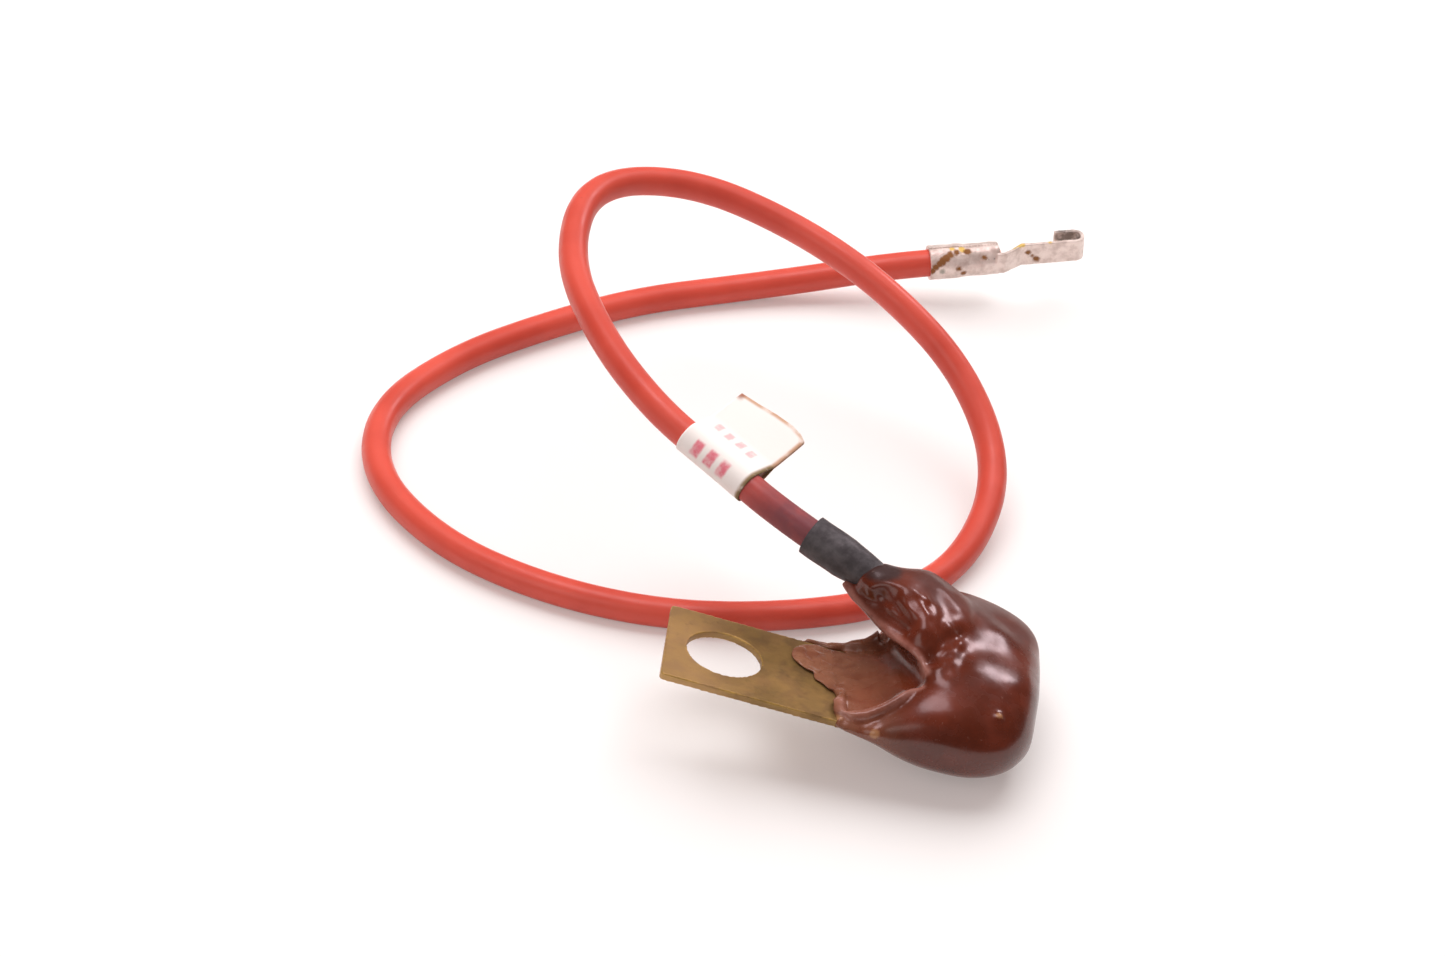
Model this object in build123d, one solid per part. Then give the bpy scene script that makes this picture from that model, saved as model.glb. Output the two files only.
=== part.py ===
from build123d import *
import math
import os

# Driving dimensions, in millimetres and degrees

# Wire
JACKET_D = 2.8
CORE_D = 1.8
STRIP_AT_TERMINAL = 4.6
STRIP_AT_FUSE = 6.5

# Crimp terminal, folded from one sheet: a wrapped barrel, a neck, an upright tongue and a hook at its tip
SHEET_T = 0.4
GRIP_L = 3.0
STEP_L = 0.9
CORE_CRIMP_L = 3.4
CRIMP_BORE_D = 2.6
SEAM_ANGLE = 5.0
NECK_L = 2.4
TONGUE_L = 5.7
TONGUE_SET_IN = 1.1
TONGUE_TOP = 1.7
TONGUE_BOTTOM = -0.8
NOTCH_TOP = 1.5
HOOK_R = 0.9
HOOK_LEG = 1.9
SHEET_LAP = 0.4

# Paper flag, wrapped round the wire with its two leaves stuck together
FLAG_L = 7.6
FLAG_DEPTH = 6.0
PAPER_T = 0.15
FLAG_FOLD_AT = 3.3
FLAG_CLOSE_L = 1.0
FLAG_LEAN = 10.0

# Heat-shrink sleeve
SLEEVE_WALL = 0.45
SLEEVE_ON_JACKET = 3.6
SLEEVE_ON_CORE = 5.4
SLEEVE_NECK = 1.8
SLEEVE_TAPER = 4.6

# Brass lug, in its own frame: x along the strip, y across it, z up, from the hole's centre on the top face
LUG_W = 11.6
LUG_T = 0.7
LUG_HOLE_D = 6.8
LUG_END = 5.3
LUG_TAIL = 24.0
LUG_CORNER_R = 0.4
LUG_POS = (-11.6, -4.0, 7.6)
LUG_YAW = -1.6
LUG_DIP = 8.4
LUG_ROLL = -8.9

# Fusible link: its foot on the lug, from the hole's centre, and the solder at its two ends
LINK_D = 0.9
LINK_LEAD_L = 1.6
LINK_KNEE = (19.6, 0.6, 1.9)
LINK_FOOT = (20.0, -1.6)
LINK_FOOT_L = 2.4
TIP_JOINT_R = 1.5
FOOT_JOINT_R = 1.9
FOOT_JOINT_H = 1.25

# Lacquer body, by stations along the lug: x from the lug's buried end, cover past its near and far edges,
# cover under and over its top face, and roll
BODY_STATIONS = (
    (-13.6, 0.4, 0.4, -1.0, 0.4, LUG_ROLL),
    (-11.6, 0.5, 1.2, -1.6, 0.8, -8.0),
    (-9.4, 0.5, 5.6, -2.5, 2.4, -4.0),
    (-6.6, 0.6, 8.6, -4.2, 4.4, -2.0),
    (-2.6, 0.6, 9.6, -4.7, 4.8, -2.0),
    (1.0, -0.3, 8.7, -3.9, 4.3, -2.0),
    (3.0, -2.2, 6.8, -2.7, 3.3, 0.0),
    (3.9, -4.2, 3.6, -1.3, 1.8, 0.0),
)
TOP_POWER = 2.7
BELLY_POWER = 2.1
BODY_POINTS = 16

# Lacquer neck up the sleeve, by ovals: x from the lug's buried end, y, z, half width and half height
NECK_AT = 3.0
NECK_TILT = 24.0
NECK_COVER = 0.35
NECK_OVALS = (
    (-11.4, 8.0, 5.0, 3.0, 2.2),
    (-10.0, 7.6, 4.7, 3.9, 2.6),
    (-8.2, 7.3, 4.0, 5.5, 3.2),
    (-5.2, 6.8, 2.5, 6.4, 3.0),
    (-2.2, 6.6, 1.4, 6.2, 3.0),
)

# Thin skin on the lug's top face: where it laps under the body, and its edge, from the lug's buried end
SKIN_T = 0.35
SKIN_LAP = -9.4
SKIN_EDGE = ((-12.4, -4.8), (-14.0, -1.8), (-16.2, 0.2), (-18.4, 3.2), (-17.2, 5.2))

# The wire's route from the terminal to the fuse: an open loop on the table, then a raised one
LIE = JACKET_D / 2
ROUTE = (
    (7.0, 67.5, 4.3),
    (0.5, 66.0, 3.6),
    (-7.0, 64.0, 2.2),
    (-15.5, 61.0, LIE),
    (-25.0, 56.5, LIE),
    (-33.5, 50.0, LIE),
    (-41.5, 42.5, LIE),
    (-47.5, 32.5, LIE),
    (-46.5, 22.0, LIE),
    (-39.0, 13.5, LIE),
    (-29.0, 9.0, LIE),
    (-18.0, 7.5, LIE),
    (-7.0, 9.5, LIE),
    (3.5, 14.0, LIE),
    (10.0, 22.0, LIE),
    (12.5, 33.0, 3.8),
    (8.0, 41.5, 8.8),
    (-0.5, 46.5, 13.8),
    (-10.0, 51.0, 16.6),
    (-21.0, 52.5, 19.3),
    (-30.5, 47.0, 21.0),
    (-31.3, 35.5, 19.8),
    (-26.6, 25.0, 18.4),
    (-20.5, 17.5, 16.8),
    (-14.5, 13.5, 15.2),
    (-8.0, 9.0, 13.4),
    (-2.2, 6.2, 12.0),
)

UP = Vector(0, 0, 1)
route = [Vector(*point) for point in ROUTE]
terminal_way = (route[0] - route[1]).normalized()
fuse_way = (route[-1] - route[-2]).normalized()
flag_way = (route[-2] - route[-4]).normalized()
core_tip = route[-1] + fuse_way * STRIP_AT_FUSE
barrel_l = GRIP_L + STEP_L + CORE_CRIMP_L

# Frames that the pieces are built in
level_frame = Pos(*LUG_POS) * Rot(Z=LUG_YAW) * Rot(Y=LUG_DIP)
lug_frame = level_frame * Rot(X=LUG_ROLL)
grip_start = route[0] - terminal_way * GRIP_L
terminal_up = UP - terminal_way * terminal_way.Z
terminal_frame = Plane(origin=grip_start, x_dir=terminal_way, z_dir=terminal_up).location
fuse_frame = Plane(origin=route[-1], x_dir=UP.cross(fuse_way), z_dir=fuse_way).location
flag_start = route[-3] - flag_way * FLAG_L / 2
flag_frame = Plane(origin=flag_start, x_dir=UP.cross(flag_way), z_dir=flag_way).location * Rot(Z=FLAG_LEAN)


def corner_radii(points, share=0.45):
    """Largest radius that each corner's two runs allow."""
    radii = []
    for before, here, after in zip(points, points[1:], points[2:]):
        first, second = here - before, after - here
        half_turn = math.radians(first.get_angle(second)) / 2
        radii.append(share * min(first.length, second.length) / math.tan(half_turn))
    return radii


def swept_rod(points, diameter):
    """Round rod of straight runs joined by tangent arcs."""
    path = FilletPolyline(*points, radius=corner_radii(points))
    start = Plane(origin=points[0], z_dir=points[1] - points[0])
    return sweep(start * Circle(diameter / 2), path=path)


def make_conductor():
    """Stranded core, bare past the jacket at both ends."""
    points = list(route)
    points[0] += terminal_way * STRIP_AT_TERMINAL
    points[-1] += fuse_way * STRIP_AT_FUSE
    return swept_rod(points, CORE_D)


def make_jacket(conductor):
    """Insulation, bored for the core."""
    return swept_rod(route, JACKET_D) - conductor


def wrapped_barrel():
    """Sheet wrapped round the jacket and then round the soldered core, its seam on top."""
    grip_r, crimp_r = JACKET_D / 2, CRIMP_BORE_D / 2
    step_end = GRIP_L + STEP_L
    inner = [(0, grip_r), (GRIP_L, grip_r), (step_end, crimp_r), (barrel_l, crimp_r)]
    outer = [(x, r + SHEET_T) for x, r in reversed(inner)]
    wall = make_face(Polyline(*inner, *outer, close=True))
    upright = Rot(X=90 + SEAM_ANGLE / 2) * wall
    return revolve(upright, axis=Axis.X, revolution_arc=360 - SEAM_ANGLE)


def make_terminal():
    """Barrel, neck, upright tongue and hook, all of one sheet."""
    near = -(CRIMP_BORE_D + SHEET_T) / 2
    set_in = near + TONGUE_SET_IN
    lap_start = barrel_l - SHEET_LAP
    tongue_start = barrel_l + NECK_L
    tip = tongue_start + TONGUE_L
    tip_edge = tip + SHEET_T
    tongue_h = TONGUE_TOP - TONGUE_BOTTOM
    strip = Polyline((lap_start, near), (barrel_l + SHEET_T, near), (tongue_start, set_in), (tip, set_in))
    blade = extrude(Plane.XY.offset(TONGUE_BOTTOM) * trace(strip, SHEET_T), amount=tongue_h)
    side = Polyline(
        (lap_start, -CRIMP_BORE_D / 2), (tongue_start, TONGUE_BOTTOM), (tip_edge, TONGUE_BOTTOM),
        (tip_edge, TONGUE_TOP), (tongue_start, TONGUE_TOP), (barrel_l + NECK_L / 2, NOTCH_TOP),
        (barrel_l, NOTCH_TOP), (lap_start, NOTCH_TOP), close=True,
    )
    blade &= extrude(Plane.XZ * make_face(side), amount=JACKET_D, both=True)
    bend = CenterArc((tip, set_in + HOOK_R), HOOK_R, -90, 180)
    leg = Line((tip, set_in + 2 * HOOK_R), (tip - HOOK_LEG, set_in + 2 * HOOK_R))
    curl = trace(Wire([*bend.edges(), *leg.edges()]), SHEET_T)
    hook = extrude(Plane.XY.offset(TONGUE_BOTTOM) * curl, amount=tongue_h)
    return terminal_frame * (wrapped_barrel() + blade + hook)


def make_terminal_solder(terminal, conductor):
    """Solder that fills the crimp round the core."""
    step_end = GRIP_L + STEP_L
    fill = extrude(Plane.YZ.offset(step_end) * Circle(CRIMP_BORE_D / 2), amount=barrel_l - step_end)
    return terminal_frame * fill - terminal - conductor


def make_flag(jacket):
    """Paper round the wire, its leaves meeting in a flag."""
    wire_r = JACKET_D / 2
    fold = Pos(X=FLAG_FOLD_AT)
    crease = fold * Circle(PAPER_T)
    wrap = make_hull([*Circle(wire_r + PAPER_T).edges(), *crease.edges()])
    hollow = make_hull([*Circle(wire_r).edges(), *(Pos(X=-FLAG_CLOSE_L) * crease).edges()])
    leaf_l = wire_r + FLAG_DEPTH - FLAG_FOLD_AT
    leaves = fold * Rectangle(leaf_l, 2 * PAPER_T, align=(Align.MIN, Align.CENTER))
    return flag_frame * extrude(wrap + leaves - hollow, amount=FLAG_L) - jacket


def make_sleeve(jacket, conductor):
    """Tube shrunk over the jacket's end and down onto the bare core."""
    jacket_r, core_r = JACKET_D / 2, CORE_D / 2
    inner = [(jacket_r, -SLEEVE_ON_JACKET), (jacket_r, 0), (core_r, SLEEVE_NECK), (core_r, SLEEVE_ON_CORE)]
    outer = [(jacket_r, -SLEEVE_ON_JACKET), (jacket_r, 0), (core_r, SLEEVE_TAPER), (core_r, SLEEVE_ON_CORE)]
    outer = [(r + SLEEVE_WALL, z) for r, z in reversed(outer)]
    wall = make_face(Polyline(*inner, *outer, close=True))
    tube = revolve(Plane.XZ * wall, axis=Axis.Z)
    return fuse_frame * tube - jacket - conductor


def make_lug():
    """Flat strip with one screw hole."""
    length = LUG_END + LUG_TAIL
    strip = Pos(X=length / 2 - LUG_END) * Rectangle(length, LUG_W)
    strip = fillet(strip.vertices(), LUG_CORNER_R) - Circle(LUG_HOLE_D / 2)
    return lug_frame * extrude(strip, amount=-LUG_T)


def make_link(conductor):
    """Fusible wire from the core's tip down to its foot on the lug."""
    foot_x, foot_y = LINK_FOOT
    on_lug = [LINK_KNEE, (foot_x, foot_y, LINK_D / 2), (foot_x, foot_y - LINK_FOOT_L, LINK_D / 2)]
    down = [(lug_frame * Pos(*point)).position for point in on_lug]
    return swept_rod([core_tip, core_tip + fuse_way * LINK_LEAD_L, *down], LINK_D)


def make_tip_joint(conductor, link, sleeve):
    """Solder round the core's tip and the link's start."""
    return Pos(*core_tip) * Sphere(TIP_JOINT_R) - conductor - link - sleeve


def make_foot_joint(link, lug):
    """Domed solder over the link's foot."""
    foot_x, foot_y = LINK_FOOT
    rim_r = (FOOT_JOINT_R ** 2 + FOOT_JOINT_H ** 2) / (2 * FOOT_JOINT_H)
    dome = Pos(Z=FOOT_JOINT_H - rim_r) * Sphere(rim_r)
    dome = split(dome, bisect_by=Plane.XY, keep=Keep.TOP)
    return lug_frame * Pos(foot_x, foot_y - LINK_FOOT_L / 2) * dome - link - lug


def body_section(station):
    """Closed curve round the lug at one station, squarish above and rounder below."""
    x, near, far, under, over, roll = station
    near_y, far_y = -LUG_W / 2 - near, LUG_W / 2 + far
    half_w, half_h = (far_y - near_y) / 2, (over - under) / 2
    points = []
    for step in range(BODY_POINTS):
        angle = 2 * math.pi * step / BODY_POINTS
        across, upward = math.cos(angle), math.sin(angle)
        power = 2 / (TOP_POWER if upward > 0 else BELLY_POWER)
        y = half_w * math.copysign(abs(across) ** power, across)
        z = half_h * math.copysign(abs(upward) ** power, upward)
        points.append((y, z))
    outline = make_face(Spline(*points, periodic=True))
    middle = Pos(Y=(near_y + far_y) / 2, Z=(over + under) / 2)
    return level_frame * Pos(X=LUG_TAIL + x) * Rot(X=roll) * middle * Plane.YZ.location * outline


def make_neck():
    """Lacquer that climbs the sleeve, from a slanted collar to an oval inside the body."""
    collar_r = CORE_D / 2 + SLEEVE_WALL + NECK_COVER
    collar = Ellipse(collar_r / math.cos(math.radians(NECK_TILT)), collar_r)
    collar = fuse_frame * Pos(Z=NECK_AT) * Rot(Y=-NECK_TILT) * collar
    ovals = [
        level_frame * Pos(LUG_TAIL + x, y, z) * Plane.YZ.location * Ellipse(half_w, half_h)
        for x, y, z, half_w, half_h in NECK_OVALS
    ]
    return loft([collar, *ovals])


def make_skin():
    """Thin lacquer on the lug's top face, with a wavy edge."""
    rim = [(LUG_TAIL + x, y) for x, y in SKIN_EDGE]
    lap = LUG_TAIL + SKIN_LAP
    back = Polyline(rim[-1], (lap, rim[-1][1]), (lap, rim[0][1]), rim[0])
    return lug_frame * extrude(make_face([Spline(*rim), *back.edges()]), amount=SKIN_T)


def make_coating(buried):
    """Dipped lacquer: body, neck up the sleeve and thin skin on the lug, round the buried pieces."""
    body = loft([body_section(station) for station in BODY_STATIONS])
    lump = body + make_neck() + make_skin()
    for piece in buried:
        lump -= piece
    return split(lump, bisect_by=Plane.XY, keep=Keep.TOP)


conductor = make_conductor()
jacket = make_jacket(conductor)
terminal = make_terminal()
terminal_solder = make_terminal_solder(terminal, conductor)
flag = make_flag(jacket)
sleeve = make_sleeve(jacket, conductor)
lug = make_lug()
link = make_link(conductor)
tip_joint = make_tip_joint(conductor, link, sleeve)
foot_joint = make_foot_joint(link, lug)
coating = make_coating([conductor, sleeve, lug, link, tip_joint, foot_joint])

pieces = {
    "wire_conductor": conductor,
    "wire_jacket": jacket,
    "crimp_terminal": terminal,
    "terminal_solder": terminal_solder,
    "rating_flag": flag,
    "heat_shrink_sleeve": sleeve,
    "mounting_lug": lug,
    "fuse_link": link,
    "conductor_joint": tip_joint,
    "lug_joint": foot_joint,
    "dipped_coating": coating,
}

os.makedirs("parts", exist_ok=True)
for name, solid in pieces.items():
    export_step(solid, f"parts/{name}.step")

print("corner radii", [round(radius, 1) for radius in corner_radii(route)])
path_length = FilletPolyline(*route, radius=corner_radii(route)).length
section = math.pi * (JACKET_D ** 2 - CORE_D ** 2) / 4
print("wire length", round(path_length, 1))
print("jacket volume over section times length", round(jacket.volume / section / path_length, 4))
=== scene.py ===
"""The looks of the fused wire lead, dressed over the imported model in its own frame."""

import logging
import math
from dataclasses import dataclass
from enum import Enum
from functools import reduce

import bmesh
import bpy
import numpy as np
from mathutils import Matrix, Vector, noise
from mathutils.bvhtree import BVHTree


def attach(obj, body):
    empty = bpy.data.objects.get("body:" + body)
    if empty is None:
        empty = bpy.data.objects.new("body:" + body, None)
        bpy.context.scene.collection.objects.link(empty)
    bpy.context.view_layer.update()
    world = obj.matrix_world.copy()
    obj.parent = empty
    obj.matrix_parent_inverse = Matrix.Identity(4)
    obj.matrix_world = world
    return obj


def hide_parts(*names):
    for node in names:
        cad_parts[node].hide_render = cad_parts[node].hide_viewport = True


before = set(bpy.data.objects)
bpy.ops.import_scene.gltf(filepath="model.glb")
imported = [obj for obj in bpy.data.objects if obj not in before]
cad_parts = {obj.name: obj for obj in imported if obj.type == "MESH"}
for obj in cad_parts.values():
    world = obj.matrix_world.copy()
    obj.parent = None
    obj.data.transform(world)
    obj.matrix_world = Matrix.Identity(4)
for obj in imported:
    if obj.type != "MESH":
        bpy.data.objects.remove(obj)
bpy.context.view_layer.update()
log = logging.getLogger("wire_lead")

MM = 0.001
WELD = 0.001 * MM
LEAST_WEIGHT = 0.02
UP = Vector((0, 0, 1))

# A place, a colour with its alpha, and the points of a line.
Point = tuple[float, float, float]
Colour = tuple[float, float, float, float]
Line = tuple[Point, ...]
# Round places with a radius; those with a radius and a height; clouds with a size, a seed and a height.
Spots = tuple[tuple[Point, float], ...]
Bumps = tuple[tuple[Point, float, float], ...]
Waves = tuple[tuple[float, float, float], ...]
# Lines with a height and a width; a node's properties; a node's inputs.
Folds = tuple[tuple[Line, float, float], ...]
Settings = dict[str, object]
Links = dict[int | str, object]
# A mesh's faces as lists of vertex numbers, and a closed shell as its vertices and faces.
Faces = list[list[int]]
Shell = tuple[list[Vector], Faces]


class Seen(Enum):
    """Which light of a lamp reaches the pieces."""

    SOFT = "lights surfaces and isn't mirrored"
    MIRRORED = "is mirrored and lights nothing"
    BOTH = "lights surfaces and is mirrored"


class Ray(Enum):
    """A kind of ray that a shader can tell from the others."""

    CAMERA = "Is Camera Ray"
    GLOSSY = "Is Glossy Ray"
    CLEAR = "Is Transmission Ray"


def srgb(red: int, green: int, blue: int) -> Colour:
    """Scene-linear colour of an 8-bit screen colour.

    Args:
        red: Red, 0 to 255.
        green: Green, 0 to 255.
        blue: Blue, 0 to 255.

    Returns:
        Linear red, green, blue and an alpha of 1.
    """
    linear = []
    for value in (red / 255, green / 255, blue / 255):
        linear.append(value / 12.92 if value <= 0.04045 else ((value + 0.055) / 1.055) ** 2.4)
    return (linear[0], linear[1], linear[2], 1.0)


class Sock:
    """A node output that takes part in sums: each operator adds a Math node."""

    def __init__(self, graph: "Graph", socket: bpy.types.NodeSocket | None) -> None:
        """Keep the graph and the output socket."""
        self.graph = graph
        self.socket = socket

    def _math(self, operation: str, *terms: "Sock | float", clamp: bool = False) -> "Sock":
        """Add a Math node on these terms.

        Args:
            operation: The Math node's operation.
            *terms: Its inputs, in order.
            clamp: Whether the result is held between 0 and 1.

        Returns:
            The node's result.
        """
        settings = {"operation": operation, "use_clamp": clamp}
        return self.graph.add("ShaderNodeMath", settings, dict(enumerate(terms)))

    def __add__(self, other: "Sock | float") -> "Sock":
        """Sum."""
        return self._math("ADD", self, other)

    def __radd__(self, other: float) -> "Sock":
        """Reflected sum."""
        return self._math("ADD", other, self)

    def __sub__(self, other: "Sock | float") -> "Sock":
        """Difference."""
        return self._math("SUBTRACT", self, other)

    def __rsub__(self, other: float) -> "Sock":
        """Reflected difference."""
        return self._math("SUBTRACT", other, self)

    def __mul__(self, other: "Sock | float") -> "Sock":
        """Product."""
        return self._math("MULTIPLY", self, other)

    def __rmul__(self, other: float) -> "Sock":
        """Reflected product."""
        return self._math("MULTIPLY", other, self)

    def __abs__(self) -> "Sock":
        """Distance from nought."""
        return self._math("ABSOLUTE", self)

    def held(self) -> "Sock":
        """The value held between 0 and 1."""
        return self._math("ADD", self, 0.0, clamp=True)

    def over(self, other: "Sock | float") -> "Sock":
        """The larger of two values."""
        return self._math("MAXIMUM", self, other)

    def step(self, low: float, high: float, start: float = 0.0, end: float = 1.0) -> "Sock":
        """Smooth step between two values.

        Args:
            low: The value where the step begins.
            high: The value where it ends.
            start: The result at and below low.
            end: The result at and above high.

        Returns:
            The stepped value.
        """
        settings = {"interpolation_type": "SMOOTHSTEP"}
        links = {"Value": self, "From Min": low, "From Max": high, "To Min": start, "To Max": end}
        return self.graph.add("ShaderNodeMapRange", settings, links)


class Graph:
    """The node tree of a material or of the world."""

    def __init__(self, owner: bpy.types.Material | bpy.types.World) -> None:
        """Start with an empty tree.

        Args:
            owner: The material or world whose tree it is.
        """
        owner.use_nodes = True
        self.owner = owner
        self.tree = owner.node_tree
        self.tree.nodes.clear()
        self._place: Sock | None = None

    def add(
        self, kind: str, settings: Settings | None = None, links: Links | None = None, out: int | str = 0
    ) -> Sock:
        """Add any node.

        Args:
            kind: The node's type.
            settings: Its properties, set first.
            links: Its inputs, by name or number: a Sock to link or a value to set.
            out: Which output to return.

        Returns:
            The chosen output, or an empty one if the node has none.
        """
        node = self.tree.nodes.new(kind)
        for key, value in (settings or {}).items():
            setattr(node, key, value)
        for key, value in (links or {}).items():
            if isinstance(value, Sock):
                self.tree.links.new(value.socket, node.inputs[key])
            else:
                node.inputs[key].default_value = value
        return Sock(self, node.outputs[out] if len(node.outputs) else None)

    def place(self) -> Sock:
        """The surface point in the row frame, in millimetres."""
        if self._place is None:
            raw = self.add("ShaderNodeTexCoord", out="Object")
            self._place = self.add("ShaderNodeVectorMath", {"operation": "SCALE"}, {0: raw, "Scale": 1 / MM})
        return self._place

    def vector(self, operation: str, first: Sock, second: Point, out: str = "Vector") -> Sock:
        """Add a Vector Math node on a vector and a fixed one."""
        return self.add("ShaderNodeVectorMath", {"operation": operation}, {0: first, 1: second}, out)

    def noise(self, size: float, detail: float, rough: float = 0.5) -> Sock:
        """Cloudy noise, 0 to 1.

        Args:
            size: The size of its blots in millimetres.
            detail: How many finer layers it has.
            rough: How strong they are.

        Returns:
            The noise value.
        """
        settings = {"noise_dimensions": "3D"}
        links = {"Vector": self.place(), "Scale": 1 / size, "Detail": detail, "Roughness": rough}
        return self.add("ShaderNodeTexNoise", settings, links)

    def mix(self, share: Sock | float, first: Sock | Colour, second: Sock | Colour) -> Sock:
        """Blend two colours.

        Args:
            share: How much of the second shows.
            first: The first colour.
            second: The second colour.

        Returns:
            The blended colour.
        """
        settings = {"data_type": "RGBA", "clamp_factor": True}
        return self.add("ShaderNodeMix", settings, {0: share, 6: first, 7: second}, 2)

    def attribute(self, name: str) -> Sock:
        """A value that the mesh carries at its points."""
        return self.add("ShaderNodeAttribute", {"attribute_name": name}, out="Fac")

    def is_ray(self, kind: Ray) -> Sock:
        """1 for rays of one kind, 0 for the others."""
        return self.add("ShaderNodeLightPath", out=kind.value)

    def finish(self, **links: Sock | float | tuple) -> bpy.types.Material:
        """Close the material with one Principled shader.

        Args:
            **links: Its inputs, with underscores for spaces.

        Returns:
            The material.
        """
        named = {key.replace("_", " "): value for key, value in links.items()}
        shader = self.add("ShaderNodeBsdfPrincipled", None, named)
        self.add("ShaderNodeOutputMaterial", None, {"Surface": shader})
        return self.owner


@dataclass(frozen=True)
class Mottle:
    """Blots of noise: a smooth step from least to most between two of its levels, low and high."""

    size: float
    low: float
    high: float
    least: float = 0.0
    most: float = 1.0
    detail: float = 3.0
    rough: float = 0.5

    def on(self, g: Graph) -> Sock:
        """The blots' strength at each place."""
        return g.noise(self.size, self.detail, self.rough).step(self.low, self.high, self.least, self.most)


@dataclass(frozen=True)
class Fade:
    """A smooth step from least to most along a way, low and high being millimetres from its start."""

    start: Point
    way: Point
    low: float
    high: float
    least: float = 0.0
    most: float = 1.0

    def on(self, g: Graph) -> Sock:
        """The fade's strength at each place.

        Args:
            g: The material's graph.

        Returns:
            The strength.
        """
        shifted = g.vector("SUBTRACT", g.place(), self.start)
        along = g.vector("DOT_PRODUCT", shifted, self.way, "Value")
        return along.step(self.low, self.high, self.least, self.most)


@dataclass(frozen=True)
class Patches:
    """Round patches of one strength, with soft edges that noise makes ragged, in millimetres."""

    spots: Spots
    soft: float
    ragged: float
    share: float = 1.0
    grain: float = 0.6
    least_grain_radius: float = 0.8
    detail: float = 4.0
    rough: float = 0.65

    def _spot(self, g: Graph, centre: Point, radius: float) -> Sock:
        """One patch.

        Args:
            g: The material's graph.
            centre: Its middle.
            radius: Where it fades out.

        Returns:
            The patch's strength at each place.
        """
        away = g.vector("DISTANCE", g.place(), centre, "Value")
        blots = g.noise(max(radius, self.least_grain_radius) * self.grain, self.detail, self.rough)
        away = away + (blots - 0.5) * (2 * self.ragged)
        return away.step(radius - self.soft, radius, self.share, 0.0)

    def on(self, g: Graph) -> Sock:
        """The patches' strength at each place."""
        return reduce(Sock.over, [self._spot(g, centre, radius) for centre, radius in self.spots])


@dataclass(frozen=True)
class Relief:
    """Fine relief of layers of noise, each a size, a detail, a roughness and a share of the depth."""

    layers: tuple[tuple[float, float, float, float], ...]
    depth: float
    strength: float = 1.0

    def on(self, g: Graph) -> Sock:
        """The surface's normal.

        Args:
            g: The material's graph.

        Returns:
            The normal.
        """
        heights = [g.noise(size, detail, rough) * share for size, detail, rough, share in self.layers]
        height = reduce(Sock.__add__, heights)
        links = {"Height": height, "Distance": self.depth * MM, "Strength": self.strength}
        return g.add("ShaderNodeBump", None, links)


@dataclass(frozen=True)
class Marks:
    """A row of plain strokes of ink, placed by millimetres along the wire and round the paper."""

    middles: tuple[tuple[float, float], ...]
    half_across: float
    half_down: float
    share: float
    full_across: float = 0.5
    full_down: float = 0.6

    def on(self, u: Sock, v: Sock) -> Sock:
        """The strokes' strength at each place.

        Args:
            u: Millimetres along the wire.
            v: Millimetres round the paper.

        Returns:
            The strength.
        """
        strokes = []
        for x, y in self.middles:
            across = abs(u - x).step(self.half_across * self.full_across, self.half_across, 1.0, 0.0)
            down = abs(v - y).step(self.half_down * self.full_down, self.half_down, self.share, 0.0)
            strokes.append(across * down)
        return reduce(Sock.over, strokes)


@dataclass(frozen=True)
class RedInsulation:
    """Satin red plastic of the wire's jacket, soiled next to the fuse."""

    fresh: Colour = srgb(225, 87, 70)
    deep: Colour = srgb(196, 64, 48)
    soiled: Colour = srgb(118, 58, 66)
    speck: Colour = srgb(66, 48, 40)
    cloud: Mottle = Mottle(7.0, 0.3, 0.75, most=0.6)
    soil: Fade = Fade((-12.4, 12.0, 14.6), (0.801, -0.555, -0.224), -0.6, 6.0, 0.4, 0.95)
    soil_reach: Patches = Patches((((-7.0, 8.8, 13.2), 7.4),), 1.2, 0.3)
    soil_blots: Mottle = Mottle(1.6, 0.2, 0.6, 0.8, detail=4.0, rough=0.6)
    soil_dulls: float = 0.12
    specks: Mottle = Mottle(0.55, 0.77, 0.82, most=0.75, detail=2.0)
    specked: Mottle = Mottle(9.0, 0.45, 0.6)
    lone_speck: Patches = Patches((((-30.9, 42.7, 22.4), 0.55),), 0.35, 0.1, 0.75)
    gloss: Mottle = Mottle(2.5, 0.3, 0.7, 0.34, 0.46)
    relief: Relief = Relief(((1.3, 4.0, 0.55, 0.6), (9.0, 2.0, 0.5, 0.8)), 0.05, 0.7)

    def material(self) -> bpy.types.Material:
        """Build the finish.

        Returns:
            The material.
        """
        g = Graph(bpy.data.materials.new("red_insulation"))
        colour = g.mix(self.cloud.on(g), self.fresh, self.deep)
        grime = self.soil.on(g) * self.soil_reach.on(g) * self.soil_blots.on(g)
        colour = g.mix(grime, colour, self.soiled)
        specks = (self.specks.on(g) * self.specked.on(g)).over(self.lone_speck.on(g))
        colour = g.mix(specks, colour, self.speck)
        return g.finish(
            Base_Color=colour, Roughness=self.gloss.on(g) + grime * self.soil_dulls, IOR=1.5,
            Normal=self.relief.on(g), Subsurface_Weight=0.08, Subsurface_Radius=(1.0, 0.3, 0.2),
            Subsurface_Scale=0.6 * MM,
        )


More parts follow.
